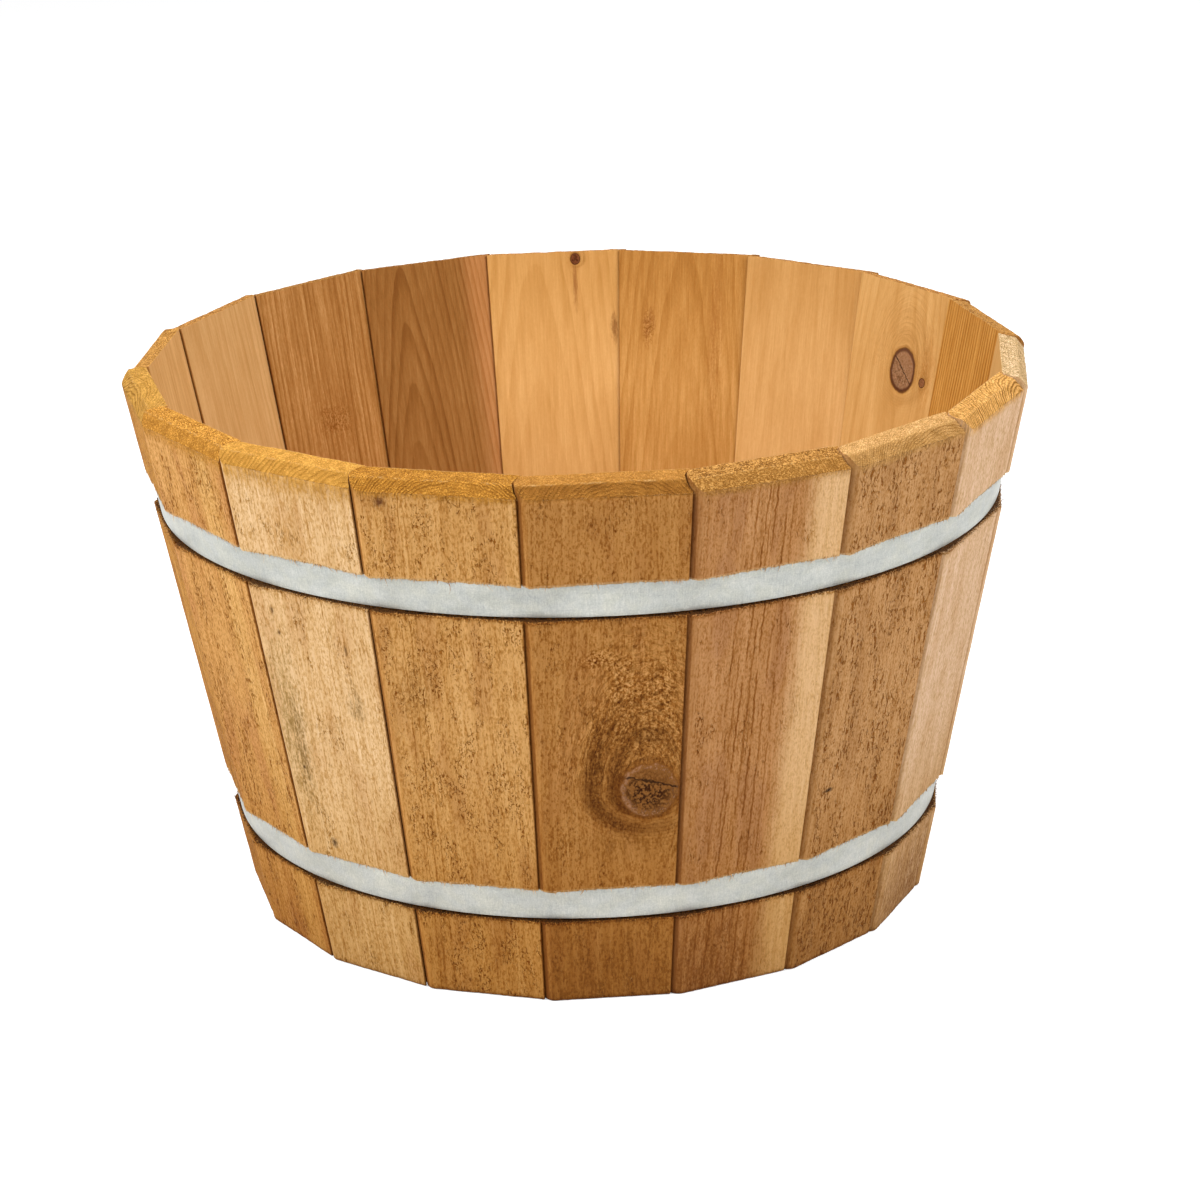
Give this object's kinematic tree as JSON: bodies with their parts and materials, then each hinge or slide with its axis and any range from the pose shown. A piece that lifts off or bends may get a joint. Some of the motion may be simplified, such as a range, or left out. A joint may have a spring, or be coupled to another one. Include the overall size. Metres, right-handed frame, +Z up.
{
  "type": "barrel planter",
  "caption": "Half-barrel planter of tapered cedar staves with bead-and-cove joints, bound by two strap hoops in grooves, with a drained board floor.",
  "frame": {"origin": "middle of the foot, on the ground", "axes": "+Z up along the barrel's axis; -Y is the front, which the picture shows; +X is to the viewer's right"},
  "size_m": [0.5038, 0.5024, 0.306],
  "materials": {
    "cedar_staves": "rough-sawn outside, planed inside, bare",
    "cedar_floor": "planed, bare",
    "hoop_steel": "galvanised, dull",
    "rivet_steel": "zinc plated, dull"
  },
  "bodies": {
    "root": {"stave_01": "cedar_staves", "stave_02": "cedar_staves", "stave_03": "cedar_staves", "stave_04": "cedar_staves", "stave_05": "cedar_staves", "stave_06": "cedar_staves", "stave_07": "cedar_staves", "stave_08": "cedar_staves", "stave_09": "cedar_staves", "stave_10": "cedar_staves", "stave_11": "cedar_staves", "stave_12": "cedar_staves", "stave_13": "cedar_staves", "stave_14": "cedar_staves", "stave_15": "cedar_staves", "stave_16": "cedar_staves", "stave_17": "cedar_staves", "stave_18": "cedar_staves", "upper_hoop": "hoop_steel", "lower_hoop": "hoop_steel", "upper_hoop_rivets": "rivet_steel", "lower_hoop_rivets": "rivet_steel", "floor_board_1": "cedar_floor", "floor_board_2": "cedar_floor", "floor_board_3": "cedar_floor", "floor_board_4": "cedar_floor", "floor_board_5": "cedar_floor"}
  },
  "joints": []
}
